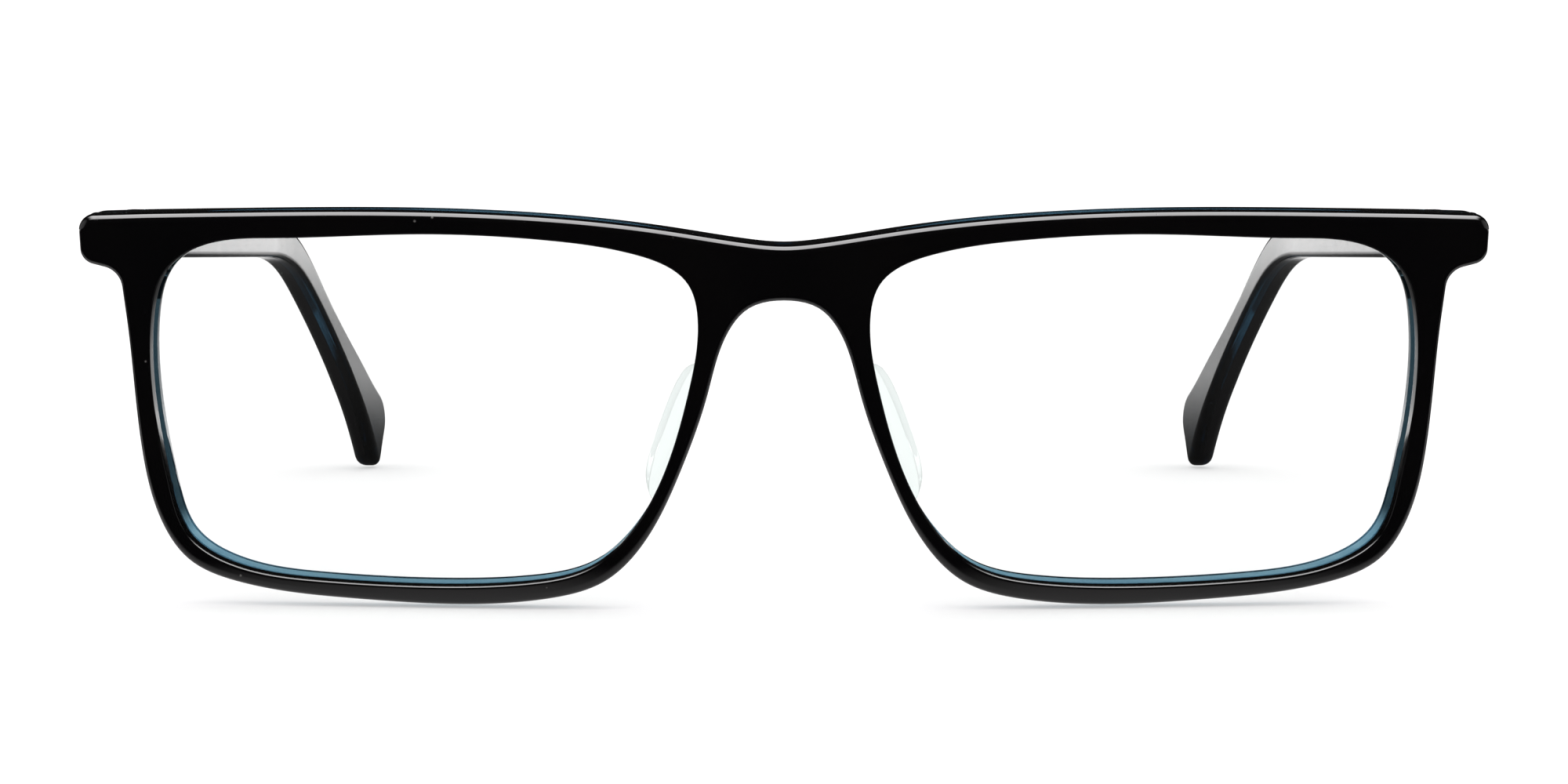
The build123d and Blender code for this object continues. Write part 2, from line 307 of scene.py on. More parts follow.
def stacked_sheet(name, stacks, place_face, spacing, flat_rings, hidden_face=None, sharp=40):
    """A closed sheet. stacks holds, for each edge, its rings of room places from face to face.

    flat_rings holds, for the near and the far face, the flat outlines of its edges, and
    place_face(side, flat points) gives the room places of the points between them.
    """
    points, faces, starts = [], [], []
    count = 0
    for rings in stacks:
        size = len(rings[0])
        starts.append((count, count + (len(rings) - 1) * size))
        for level in range(len(rings) - 1):
            for i in range(size):
                a, b = count + level * size + i, count + level * size + (i + 1) % size
                faces.append((a, b, b + size, a + size))
        points += rings
        count += len(rings) * size
    for side in (0, 1):
        loops = flat_rings[side]
        grid, triangles = filled(loops, spacing)
        index = np.concatenate(
            [np.arange(start[side], start[side] + len(loop)) for start, loop in zip(starts, loops)]
            + [np.arange(count, count + len(grid))]
        )
        points.append(place_face(side, grid))
        count += len(grid)
        faces += [index[t] for t in triangles]
    piece = new_piece(name, np.vstack(points), faces)
    if hidden_face is not None:
        for polygon in piece.data.polygons[len(faces) - len(triangles):]:
            polygon.material_index = hidden_face
    face_outward(piece, sharp)
    return piece


def face_outward(piece, sharp=40):
    """Turns every face outward and shades it smooth, with sharp lines kept sharp."""
    work = bmesh.new()
    work.from_mesh(piece.data)
    bmesh.ops.remove_doubles(work, verts=work.verts, dist=1e-7)
    bmesh.ops.recalc_face_normals(work, faces=work.faces)
    work.to_mesh(piece.data)
    work.free()
    piece.data.shade_smooth()
    piece.data.set_sharp_from_angle(angle=radians(sharp))


# %% [markdown]
# ## The two sheets of the front
# The lens openings are cut square to each lens, which is turned five degrees out by the bow, so
# their walls lean a little. The black sheet has a generous rounding outside and a small one at the
# lens. The crystal sheet behind it carries the lens groove, and its back edges are tumbled round.

# %% Rings of the front
EDGE_ROUND = 0.8
LIP_ROUND = 0.3
SUPPORT = 0.12  # width of the flat strip beside a rounding


def eye_places(side, loop, depth):
    """Across and up the front for a lens-opening loop, followed square to the lens to a depth."""
    reach = np.broadcast_to(depth, len(loop)).astype(float)
    start_x = EYE_ACROSS + loop[:, 0] * cos(eye_turn)
    start_n = BOW * (1 - cos(eye_turn)) + loop[:, 0] * sin(eye_turn) - BOW
    along = -start_x * sin(eye_turn) + start_n * cos(eye_turn)
    root = np.sqrt(along**2 - start_x**2 - start_n**2 + (BOW - reach) ** 2)
    go = -along - root
    across = start_x - go * sin(eye_turn)
    return side * across, loop[:, 1]


def room_beside(loop, other):
    """How much of a full rounding fits at each point before the rim gets too narrow for two."""
    gap = np.sqrt(((loop[:, None] - other[None]) ** 2).sum(2)).min(1)
    room = np.clip((gap - 0.15) / (EDGE_ROUND + LIP_ROUND + 2 * SUPPORT), 0.3, 1)
    for _ in range(4):
        room = (np.roll(room, 1) + room + np.roll(room, -1)) / 3
    return room[:, None]


flat_eye = np.column_stack(eye_places(1, eye_loop, FRONT_THICK))
front_room = room_beside(front_loop, np.vstack([flat_eye, flat_eye * [-1, 1]]))
eye_room = room_beside(flat_eye, front_loop)
eye_along = np.roll(eye_loop, -1, 0) - np.roll(eye_loop, 1, 0)
level = np.abs(eye_along[:, 0]) / np.linalg.norm(eye_along, axis=1)
lip_room = eye_room * (0.4 + 0.6 * level)[:, None]  # the lip is scraped finer up the two sides
print("narrowest rounding:", round(float(front_room.min()), 2), "of full size")


def front_stacks(outline, outer_steps, eye_steps, lip):
    """The rings of the outside edge and of both openings, in the room and flat."""
    stacks, flats = [], ([], [])
    rings = []
    for number, (inset, depth) in enumerate(outer_steps):
        loop = moved_in(outline, inset * front_room)
        rings.append(on_front(loop[:, 0], loop[:, 1], depth))
        if number in (0, len(outer_steps) - 1):
            flats[number > 0].append(loop)
    stacks.append(rings)
    for side in (1, -1):
        rings = []
        for number, (inset, depth) in enumerate(eye_steps):
            loop = moved_in(eye_loop, inset * lip)
            across, up = eye_places(side, loop, depth)
            rings.append(on_front(across, up, depth))
            if number in (0, len(eye_steps) - 1):
                flats[number > 0].append(np.column_stack([across, up])[::side])
        stacks.append([ring[::side] for ring in rings])
    return stacks, flats


def front_sheet(name, outline, outer_steps, eye_steps, lip, hidden_face=None):
    stacks, flats = front_stacks(outline, outer_steps, eye_steps, lip)
    depths = (outer_steps[0][1], outer_steps[-1][1])
    return stacked_sheet(
        name, stacks, lambda side, flat: on_front(flat[:, 0], flat[:, 1], depths[side]), 1.6, flats,
        hidden_face,
    )


# %% Black outer sheet of the front
black_front = front_sheet(
    "front_black_sheet",
    front_loop,
    [(EDGE_ROUND + SUPPORT, 0)] + rounding(EDGE_ROUND, 0, 1) + [(0, BLACK_THICK)],
    [(LIP_ROUND + SUPPORT, 0)] + rounding(LIP_ROUND, 0, 1) + [(0, BLACK_THICK)],
    lip_room,
    hidden_face=1,
)
print("black sheet:", len(black_front.data.polygons), "faces")

# %% Crystal inner sheet of the front
BACK_ROUND = 0.7
BACK_LIP_ROUND = 0.26
LENS_RADIUS = 265.0
LENS_SET_BACK = 0.9
LENS_THICK = 1.5
GROOVE_DEPTH = 0.55
LENS_MIDDLE = 19.4  # height of the lens centre up the front


def lens_depth(loop):
    """How deep the lens's front face lies behind the face of the front, at each point."""
    distance = loop[:, 0] ** 2 + (loop[:, 1] - LENS_MIDDLE) ** 2
    return LENS_SET_BACK + distance / (2 * LENS_RADIUS) - loop[:, 0] ** 2 / (2 * BOW)


groove = lens_depth(eye_loop) - 0.05
crystal_front = front_sheet(
    "front_crystal_sheet",
    softer_loop,
    [(FUSED, BLACK_THICK - FUSED), (0, BLACK_THICK)]
    + rounding(BACK_ROUND, FRONT_THICK, -1)
    + [(BACK_ROUND + SUPPORT, FRONT_THICK)],
    [(FUSED, BLACK_THICK - FUSED), (0, BLACK_THICK), (0, groove), (GROOVE_DEPTH, groove + 0.5),
     (GROOVE_DEPTH, groove + LENS_THICK - 0.4), (0, np.minimum(groove + LENS_THICK + 0.1, 3.5))]
    + rounding(BACK_LIP_ROUND, FRONT_THICK, -1)
    + [(BACK_LIP_ROUND + SUPPORT, FRONT_THICK)],
    eye_room,
)
print("crystal sheet:", len(crystal_front.data.polygons), "faces")


# %% [markdown]
# ## Cutting the hinge corners
# The temple butts against a mitred step in the crystal sheet, and the metal hinge leaves are sunk
# flush into both. The steps and the pockets are sawn with plain blocks, as on the bench. The boolean
# cut is applied straight away and the blocks are thrown away.

# %% Bench tools
def cut_away(piece, cutter):
    """Takes the closed cutter out of the piece and removes the cutter."""
    saw = piece.modifiers.new("saw", "BOOLEAN")
    saw.operation, saw.solver, saw.object = "DIFFERENCE", "EXACT", cutter
    finished = piece.evaluated_get(bpy.context.evaluated_depsgraph_get())
    piece.data = bpy.data.meshes.new_from_object(finished)
    piece.modifiers.clear()
    bpy.data.objects.remove(cutter)
    face_outward(piece)


def hinge_block(side, low, high):
    """A block between two corners, measured outward, rearward and up from a hinge pin."""
    corners = [(x, y, z) for x in (low[0], high[0]) for y in (low[1], high[1]) for z in (low[2], high[2])]
    points = [pin + x * outward + y * rearward + z * pin_up for x, y, z in corners]
    faces = [(0, 1, 3, 2), (4, 6, 7, 5), (0, 4, 5, 1), (2, 3, 7, 6), (0, 2, 6, 4), (1, 5, 7, 3)]
    block = new_piece("block", np.array(points) * [side, 1, 1], faces)
    face_outward(block)
    return block


def sawn(piece, plane_point, plane_normal):
    """Removes what lies beyond a plane and closes the cut."""
    work = bmesh.new()
    work.from_mesh(piece.data)
    everything = work.verts[:] + work.edges[:] + work.faces[:]
    cut = bmesh.ops.bisect_plane(
        work, geom=everything, plane_co=plane_point * MM, plane_no=plane_normal, clear_outer=True
    )
    rim = [item for item in cut["geom_cut"] if isinstance(item, bmesh.types.BMEdge)]
    bmesh.ops.triangle_fill(work, use_beauty=True, edges=rim)
    work.to_mesh(piece.data)
    work.free()
    face_outward(piece)


LEAF_THICK = 0.8
LEAF_HALF = 1.75  # half the height of a hinge leaf
for side in (1, -1):
    cut_away(crystal_front, hinge_block(side, (-2.6, -PIN_BACK, -2.7), (8.0, 8.3, 5.3)))
    cut_away(crystal_front, hinge_block(
        side, (-1.7, -PIN_BACK - LEAF_THICK, -LEAF_HALF), (2.7, 0, LEAF_HALF)
    ))
print("crystal sheet with its steps:", len(crystal_front.data.polygons), "faces")

# %% [markdown]
# ## The temples
# Each temple runs straight back, then drops behind the ear and widens to a blunt paddle. The black
# sheet is the thicker one here and stops at a slanting cut just before the toe, so that a small
# wedge of bare crystal shows at the very end. Outer edges are rounded more than inner ones. The end
# that meets the front has a rounded top corner, which follows the corner of the front.

# %% The outline of a temple
TEMPLE_START = -PIN_BACK + BUTT_GAP
END_HALF = 2.3
END_CORNER = 1.5  # the top front corner of a temple follows the rounded corner of the front
temple_top = [
    (BEND_START, 2.0), (88, 0.5), (104.8, -7.2), (125.4, -16.8), (134.4, -20.8), (138.7, -23.3),
    (139.5, -25.6), (137.9, -28.6),
]
temple_toe = [(137.9, -28.6), (135.5, -31.46), (132.6, -29.3)]
temple_under = [
    (132.6, -29.3), (129.0, -25.9), (115.9, -16.8), (99.7, -8.2), (90.0, -4.2), (BEND_START, -2.4),
]
straight = np.linspace(0, 1, 60, endpoint=False)[:, None]
end_low, end_high = np.array([TEMPLE_START, -END_HALF]), np.array([TEMPLE_START, END_HALF])
end_corner = rounded_corners([end_low + [0, 1], end_high, temple_top[0]], [END_CORNER])[:-1]
temple_loop = np.vstack([
    end_low + np.linspace(0, 1, 4, endpoint=False)[:, None] * [0, 1],
    end_corner[:-1],
    end_corner[-1] + straight * (np.array(temple_top[0]) - end_corner[-1]),
    sweep_through(temple_top, ((1, -0.004), (-0.55, -0.85)))[:-1],
    sweep_through(temple_toe, ((-0.55, -0.85), (-0.7, 0.7)))[:-1],
    sweep_through(temple_under, ((-0.7, 0.7), (-1, 0.0013)))[:-1],
    np.array(temple_under[-1]) + straight * (end_low - np.array(temple_under[-1])),
])[::-1]
square_end = np.where(temple_loop[:, 0] < TEMPLE_START + 0.01, 0.8, 1.0)
toe_soft = 1 + 0.9 * np.clip((-20 - temple_loop[:, 1]) / 10, 0, 1)
softness = (square_end * toe_soft)[:, None]
print("temple outline:", len(temple_loop), "points")


def temple_sheet(name, side, steps, hidden_face=None):
    rings = []
    for inset, depth in steps:
        loop = moved_in(temple_loop, inset * softness)
        near = depth < TEMPLE_THICK / 2
        reach = depth * toe_soft if near else TEMPLE_THICK - (TEMPLE_THICK - depth) * toe_soft
        reach = depth if depth == TEMPLE_BLACK else reach
        rings.append(on_temple(loop[:, 0], loop[:, 1], reach) * [side, 1, 1])
    flats = [[moved_in(temple_loop, steps[end][0] * softness)] for end in (0, -1)]
    depths = (steps[0][1], steps[-1][1])
    return stacked_sheet(
        name, [rings], lambda face, flat: on_temple(flat[:, 0], flat[:, 1], depths[face]) * [side, 1, 1],
        1.3, flats, hidden_face,
    )


# %% Black and crystal sheets of the temples
TEMPLE_ROUND = 0.85
TEMPLE_BACK_ROUND = 0.6
toe_point = pin + 134.2 * rearward - 28.6 * pin_up + PIN_INSIDE * outward
toe_normal = rearward * 0.6 - pin_up * 0.62 + outward * 0.5
toe_normal /= np.linalg.norm(toe_normal)
mirrored = {1: np.array([1, 1, 1]), -1: np.array([-1, 1, 1])}
side_name = {1: "left", -1: "right"}
black_temples, crystal_temples = {}, {}

for side in (1, -1):
    flip = mirrored[side]
    black = temple_sheet(
        f"temple_black_{side_name[side]}", side,
        [(TEMPLE_ROUND + SUPPORT, 0)] + rounding(TEMPLE_ROUND, 0, 1) + [(0, TEMPLE_BLACK)],
        hidden_face=1,
    )
    sawn(black, toe_point * flip, toe_normal * flip)
    crystal = temple_sheet(
        f"temple_crystal_{side_name[side]}", side,
        [(TEMPLE_ROUND + SUPPORT, 0)] + rounding(TEMPLE_ROUND, 0, 1)
        + rounding(TEMPLE_BACK_ROUND, TEMPLE_THICK, -1) + [(TEMPLE_BACK_ROUND + SUPPORT, TEMPLE_THICK)],
    )
    # The place of the black sheet: a broad slab over the outer face that ends at the toe cut.
    runs = np.linspace(-8, 150, 80)
    sides = np.array([[run, height] for run in runs for height in (-45, 20)])
    slab_points, slab_faces = [], []
    for depth in (-4.0, TEMPLE_BLACK - FUSED):
        slab_points.append(on_temple(sides[:, 0], sides[:, 1], depth) * flip)
    far = len(sides)
    for i in range(0, far - 2, 2):
        slab_faces += [(i, i + 1, i + 3, i + 2), (far + i, far + i + 2, far + i + 3, far + i + 1),
                       (i, i + 2, far + i + 2, far + i), (i + 1, far + i + 1, far + i + 3, i + 3)]
    slab_faces += [(0, far, far + 1, 1), (far - 2, far - 1, 2 * far - 1, 2 * far - 2)]
    slab = new_piece("slab", np.vstack(slab_points), slab_faces)
    face_outward(slab)
    sawn(slab, (toe_point - FUSED * toe_normal) * flip, toe_normal * flip)
    cut_away(crystal, slab)
    cut_away(crystal, hinge_block(side, (0, -1.1, -LEAF_HALF), (PIN_INSIDE + LEAF_THICK, 7.9, LEAF_HALF)))
    black_temples[side], crystal_temples[side] = black, crystal
    print(black.name, len(black.data.polygons), crystal.name, len(crystal.data.polygons))

# %% [markdown]
# ## Lenses and nose pads
# The demonstration lenses are thin meniscus discs on a flat two-base curve, edged with a small
# ridge that sits in the groove. They are ground here from the same outline as the opening, ring by
# ring. The nose pads are moulded drops of clear acetate glued behind the nasal rims; each is a stack
# of long ovals that narrows to a soft crest, smoothed by a subdivision surface.

# %% Lenses
eye_middle = front_base + np.array([EYE_ACROSS, 0, 0]) + into_front * BOW * (1 - cos(eye_turn))
lens_across = np.array([cos(eye_turn), 0, 0]) + into_front * sin(eye_turn)
lens_back = into_front * cos(eye_turn) - np.array([sin(eye_turn), 0, 0])


def on_lens(flat, behind):
    """Places in the room for points on the left lens, at a depth behind its front surface."""
    reach = flat[:, 0] ** 2 + (flat[:, 1] - LENS_MIDDLE) ** 2
    depth = LENS_SET_BACK + LENS_RADIUS - np.sqrt((LENS_RADIUS - behind) ** 2 - reach)
    return eye_middle + flat[:, :1] * lens_across + flat[:, 1:] * up_front + depth[:, None] * lens_back


EDGE_PLAY = 0.06
RIDGE = 0.46
lens_loop = eye_loop[::-1]
lens_steps = [(EDGE_PLAY + 0.4, 0), (EDGE_PLAY + 0.1, 0), (EDGE_PLAY, 0.1), (-RIDGE, 0.6), (-RIDGE, 0.95),
              (EDGE_PLAY, 1.4), (EDGE_PLAY + 0.1, LENS_THICK), (EDGE_PLAY + 0.4, LENS_THICK)]
lenses = {}
for side in (1, -1):
    rings = [on_lens(moved_in(lens_loop, inset), behind) * mirrored[side] for inset, behind in lens_steps]
    flats = [[moved_in(lens_loop, lens_steps[end][0])] for end in (0, -1)]
    lenses[side] = stacked_sheet(
        f"lens_clear_{side_name[side]}", [rings],
        lambda face, flat: on_lens(flat, (0, LENS_THICK)[face]) * mirrored[side], 2.0, flats, sharp=20,
    )
    print(lenses[side].name, len(lenses[side].data.polygons), "faces")

# %% Nose pads
PAD_MIDDLE = (10.6, 17.0)
PAD_SLANT = radians(110)
PAD_RISE = 4.8
# (height over the foot, half length, half width), from a thin glued skirt to the crest
pad_levels = [
    (0.0, 7.45, 1.25), (0.25, 7.4, 1.2), (1.0, 7.2, 1.08), (2.2, 6.9, 0.96), (3.4, 6.55, 0.9),
    (4.1, 6.2, 0.84), (4.5, 5.75, 0.7), (4.72, 4.9, 0.45), (PAD_RISE, 3.6, 0.16),
]
around = np.linspace(0, 2 * pi, 40, endpoint=False)
pads = {}
for side in (1, -1):
    points, faces = [], []
    for rise, half_length, half_width in pad_levels:
        along = half_length * np.sign(np.cos(around)) * np.abs(np.cos(around)) ** 0.8
        wide = half_width * np.sin(around)
        across = PAD_MIDDLE[0] + 1.3 * rise / PAD_RISE + along * cos(PAD_SLANT) - wide * sin(PAD_SLANT)
        up = PAD_MIDDLE[1] + along * sin(PAD_SLANT) + wide * cos(PAD_SLANT)
        points.append(on_front(across, up, FRONT_THICK - 0.05 + rise) * mirrored[side])
    count = len(around)
    for level in range(len(pad_levels) - 1):
        for i in range(count):
            a, b = level * count + i, level * count + (i + 1) % count
            faces.append((a, b, b + count, a + count))
    faces += [tuple(range(count)), tuple(range(len(faces), len(faces) + count))]
    pads[side] = new_piece(f"nose_pad_clear_{side_name[side]}", np.vstack(points), faces)
    face_outward(pads[side], 60)
    pads[side].modifiers.new("smooth", "SUBSURF").render_levels = 1
    print(pads[side].name, len(pads[side].data.polygons), "faces")

# %% [markdown]
# ## Finishes
# Acetate is dyed in the sheet and polished in drums of wooden pegs, so it is glossy but never quite
# even: it keeps a very faint ripple, hairlines from cleaning and a little dust. Each finish is a
# small node tree built with one helper, so that a cell reads as a list of what the surface does.

# %% Node helpers
def finish_named(name):
    """A new material with its Principled shader."""
    material = bpy.data.materials.new(name)
    material.use_nodes = True
    tree = material.node_tree
    return material, tree, tree.nodes["Principled BSDF"]


def node(tree, kind, settings=None, **inputs):
    """A node with its settings, and its inputs set to values or joined to other outputs."""
    made = tree.nodes.new(kind)
    for key, value in (settings or {}).items():
        setattr(made, key, value)
    for key, value in inputs.items():
        plug = made.inputs[int(key[1:]) if key[0] == "i" and key[1:].isdigit() else key.replace("_", " ")]
        if isinstance(value, bpy.types.NodeSocket):
            tree.links.new(value, plug)
        else:
            plug.default_value = value
    return made


def place_on(tree, stretch=(1, 1, 1)):
    """Object coordinates in millimetres, stretched along chosen directions."""
    where = node(tree, "ShaderNodeTexCoord").outputs["Object"]
    return node(tree, "ShaderNodeVectorMath", {"operation": "MULTIPLY"}, i0=where,
                i1=[s / MM for s in stretch]).outputs[0]


def noise(tree, where, scale, detail=2.0, roughness=0.5):
    return node(tree, "ShaderNodeTexNoise", None, Vector=where, Scale=scale, Detail=detail,
                Roughness=roughness).outputs["Fac"]


def between(tree, value, low, high, out_low, out_high):
    """The value carried from one range to another, smoothly."""
    return node(tree, "ShaderNodeMapRange", {"interpolation_type": "SMOOTHSTEP"}, Value=value,
                From_Min=low, From_Max=high, To_Min=out_low, To_Max=out_high).outputs[0]


def tint_between(tree, value, first, second):
    return node(tree, "ShaderNodeMix", {"data_type": "RGBA"}, i0=value, i6=(*first, 1),
                i7=(*second, 1)).outputs[2]


def multiply(tree, first, second):
    return node(tree, "ShaderNodeMath", {"operation": "MULTIPLY"}, i0=first, i1=second).outputs[0]


def bumps(tree, height, distance, strength=1.0, under=None):
    """A bump whose height is given in millimetres for a height input from 0 to 1."""
    made = node(tree, "ShaderNodeBump", None, Strength=strength, Distance=distance * MM, Height=height)
    if under is not None:
        tree.links.new(under, made.inputs["Normal"])
    return made.outputs[0]


def hairlines(tree, where, turn, scale):
    """Thin broken scratches that run one way: 1 on a scratch, 0 elsewhere."""
    turned = node(tree, "ShaderNodeVectorRotate", {"rotation_type": "EULER_XYZ"}, Vector=where,
                  Rotation=turn).outputs[0]
    drawn = node(tree, "ShaderNodeVectorMath", {"operation": "MULTIPLY"}, i0=turned,
                 i1=(0.03, 1.0, 1.0)).outputs[0]
    lines = noise(tree, drawn, scale, 0.0)
    patches = between(tree, noise(tree, where, 0.12), 0.5, 0.62, 0, 1)
    return multiply(tree, between(tree, lines, 0.66, 0.74, 0, 1), patches)


def dust(tree, where, scale, share):
    """Small specks on a few cells of a scatter."""
    cells = node(tree, "ShaderNodeTexVoronoi", None, Vector=where, Scale=scale)
    near = between(tree, cells.outputs["Distance"], 0.10, 0.03, 1, 0)
    near = node(tree, "ShaderNodeMath", {"operation": "SUBTRACT"}, i0=1.0, i1=near).outputs[0]
    pick = node(tree, "ShaderNodeSeparateColor", None, Color=cells.outputs["Color"]).outputs[0]
    chosen = node(tree, "ShaderNodeMath", {"operation": "LESS_THAN"}, i0=pick, i1=share).outputs[0]
    return multiply(tree, near, chosen)


# %% [markdown]
# ## Black acetate
# Solid black, drum polished. Almost all of what is seen on it is reflection, so the fine unevenness
# goes into the roughness and a very shallow ripple, with specks of dust a tenth of a millimetre
# across and sparse hairlines. Where the black is fused to the crystal there is no air and so no
# reflection: that hidden face has a dull finish of its own.

# %% Black acetate finish
black_acetate, tree, shader = finish_named("black_acetate")
where = place_on(tree)
clouds = noise(tree, where, 0.09, 3.0)
specks = dust(tree, where, 0.55, 0.16)
scratches = hairlines(tree, where, (0.3, 0.9, 0.5), 1.7)
body_tint = tint_between(tree, clouds, (0.0010, 0.0010, 0.0013), (0.0022, 0.0019, 0.0020))
dusty = node(tree, "ShaderNodeMix", {"data_type": "RGBA"}, i0=multiply(tree, specks, 0.5), i6=body_tint,
             i7=(0.12, 0.115, 0.11, 1)).outputs[2]
tree.links.new(dusty, shader.inputs["Base Color"])
rough = between(tree, clouds, 0.3, 0.7, 0.045, 0.085)
rough = node(tree, "ShaderNodeMath", {"operation": "ADD"}, i0=rough,
             i1=multiply(tree, scratches, 0.12)).outputs[0]
rough = node(tree, "ShaderNodeMath", {"operation": "ADD"}, i0=rough,
             i1=multiply(tree, specks, 0.4)).outputs[0]
tree.links.new(rough, shader.inputs["Roughness"])
ripple = bumps(tree, noise(tree, where, 0.16, 1.0), 0.02)
ripple = bumps(tree, scratches, 0.0006, 0.5, ripple)
tree.links.new(ripple, shader.inputs["Normal"])
shader.inputs["IOR"].default_value = 1.49

black_fused, tree, shader = finish_named("black_acetate_fused")
fused_tint = tint_between(tree, noise(tree, place_on(tree), 0.3), (0.003, 0.004, 0.005), (0.006, 0.008, 0.011))
tree.links.new(fused_tint, shader.inputs["Base Color"])
tree.links.new(between(tree, noise(tree, place_on(tree), 0.8), 0.3, 0.7, 0.5, 0.7), shader.inputs["Roughness"])
shader.inputs["Specular IOR Level"].default_value = 0.0
print("black finishes made")

# %% [markdown]
# ## Crystal acetate
# The inner sheet is a clear blue-green. It gets its depth of colour from absorption, so that a thin edge is
# pale and a long path through the rim is navy. Where the rays through it reach the table off to the sides, its
# darkness is also painted shade, because the table is painted black for those rays. It has faint lengthwise
# streaks from the way the block was pressed. The nose pads and lenses are the same kind of finish without the
# dye.

# %% Crystal, clear and lens finishes
def clear_finish(name, pale, streaked, rough_low, rough_high, bend, stretch, streak_scale, ripple_depth):
    """A see-through finish with streaks of two tints and a slightly uneven polish."""
    material, tree, shader = finish_named(name)
    where = place_on(tree, stretch)
    streaks = noise(tree, where, streak_scale, 4.0, 0.6)
    tint = tint_between(tree, between(tree, streaks, 0.35, 0.65, 0, 1), pale, streaked)
    tree.links.new(tint, shader.inputs["Base Color"])
    plain = place_on(tree)
    polish = between(tree, noise(tree, plain, 0.4, 3.0), 0.3, 0.7, rough_low, rough_high)
    marks = hairlines(tree, plain, (0.7, 0.2, 1.1), 1.9)
    polish = node(tree, "ShaderNodeMath", {"operation": "ADD"}, i0=polish,
                  i1=multiply(tree, marks, 0.05)).outputs[0]
    tree.links.new(polish, shader.inputs["Roughness"])
    tree.links.new(bumps(tree, noise(tree, plain, 0.22, 1.0), ripple_depth), shader.inputs["Normal"])
    shader.inputs["Transmission Weight"].default_value = 1.0
    shader.inputs["IOR"].default_value = bend
    return material, tree


crystal_acetate, tree = clear_finish(
    "crystal_acetate", (0.42, 0.62, 0.70), (0.30, 0.50, 0.60), 0.02, 0.06, 1.49, (0.08, 0.5, 0.9), 1.1, 0.015
)
dye = node(tree, "ShaderNodeVolumeAbsorption", None, Color=(0.22, 0.45, 0.56, 1), Density=800.0)
tree.links.new(dye.outputs[0], tree.nodes["Material Output"].inputs["Volume"])


def coated_finish(name, pale, deep, wipe_scale, smears, mirror_tint, shine):
    """A thin clear finish: it lets the light straight through and mirrors a little at its edges."""
    material, tree, shader = finish_named(name)
    tree.nodes.remove(shader)
    where = place_on(tree)
    wiped = noise(tree, where, wipe_scale, 3.0)
    see_through = node(tree, "ShaderNodeBsdfTransparent", None, Color=tint_between(tree, wiped, pale, deep))
    smear = between(tree, wiped, 0.35, 0.7, *smears)
    marks = bumps(tree, hairlines(tree, where, (0.4, 1.0, 0.2), 1.5), 0.0004, 0.4)
    mirror = node(tree, "ShaderNodeBsdfGlossy", None, Roughness=smear, Normal=marks)
    mirror.inputs["Color"].default_value = mirror_tint
    # For the camera the share mirrored is worked out alike for both faces, as light isn't bent here.
    tilt = node(tree, "ShaderNodeLayerWeight", None, Blend=0.5).outputs["Facing"]
    edge = node(tree, "ShaderNodeMath", {"operation": "POWER"}, i0=tilt, i1=5.0).outputs[0]
    edge = between(tree, edge, 0.0, 1.0, 0.04 * shine, shine)
    # Rays other than the camera's meet the piece as solid glass, which keeps the opening walls dark.
    glass = multiply(tree, node(tree, "ShaderNodeFresnel", None, IOR=1.5).outputs[0], shine)
    straight = node(tree, "ShaderNodeLightPath").outputs["Is Camera Ray"]
    edge = node(tree, "ShaderNodeMix", {"data_type": "FLOAT"}, i0=straight, i2=glass, i3=edge).outputs[0]
    coated = node(tree, "ShaderNodeMixShader", None, i0=edge,
                  i1=see_through.outputs[0], i2=mirror.outputs[0])
    tree.links.new(coated.outputs[0], tree.nodes["Material Output"].inputs["Surface"])
    return material


clear_acetate = coated_finish(
    "clear_acetate", (0.935, 0.972, 0.962), (0.968, 0.986, 0.98), 0.3, (0.02, 0.08), (1.0, 1.0, 1.0, 1), 0.45
)
clear_lens = coated_finish(
    "clear_lens", (0.982, 0.990, 0.987), (0.990, 0.995, 0.993), 0.06, (0.004, 0.03), (0.92, 1.0, 0.96, 1), 1.0
)
print("clear finishes made")

# %% [markdown]
# ## Metals
# The hinge leaves are milled nickel silver with the cutter's fine parallel lines, the screws are turned steel
# with rings round the head, and the core wire is drawn. Each metal has its own scale of marks, and stains
# scattered at random warm the colour a little.

# %% Metal finishes
def metal_finish(name, bright, dull, stretch, line_scale, rough_low, rough_high, line_depth):
    material, tree, shader = finish_named(name)
    lines = noise(tree, place_on(tree, stretch), line_scale, 3.0, 0.7)
    stains = noise(tree, place_on(tree), 0.9, 3.0)
    tree.links.new(tint_between(tree, between(tree, stains, 0.35, 0.7, 0, 1), bright, dull),
                   shader.inputs["Base Color"])
    tree.links.new(between(tree, lines, 0.3, 0.7, rough_low, rough_high), shader.inputs["Roughness"])
    tree.links.new(bumps(tree, lines, line_depth), shader.inputs["Normal"])
    shader.inputs["Metallic"].default_value = 1.0
    return material


hinge_metal = metal_finish(
    "hinge_metal", (0.68, 0.65, 0.60), (0.50, 0.47, 0.42), (1, 1, 12), 1.0, 0.2, 0.36, 0.004
)
screw_steel = metal_finish(
    "screw_steel", (0.72, 0.72, 0.73), (0.56, 0.56, 0.58), (6, 6, 1), 1.2, 0.14, 0.28, 0.003
)
core_metal = metal_finish(
    "core_metal", (0.60, 0.57, 0.52), (0.46, 0.43, 0.39), (14, 0.4, 14), 1.0, 0.25, 0.4, 0.004
)
kept = {"front_hinge_leaf": hinge_metal, "temple_hinge_leaf": hinge_metal, "hinge_screw": screw_steel,
        "temple_core_wire": core_metal}
for name, metal in kept.items():
    for side in ("left", "right"):
        cad_node = frame["nodes"][f"{name}_{side}"]
        cad_node.data.materials.clear()
        cad_node.data.materials.append(metal)
print("metal finishes on", 2 * len(kept), "CAD nodes")

# %% [markdown]
# ## Putting it together
# Every piece rides on the CAD body it belongs to, so that it folds with the hinges, and stands in
# for the CAD node of the same part.

# %% Finishes, bodies and slots
def fit(piece, materials, body, cad_node):
    piece.data.materials.clear()
    for material in materials:
        piece.data.materials.append(material)
    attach(piece, body)
    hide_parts(cad_node)


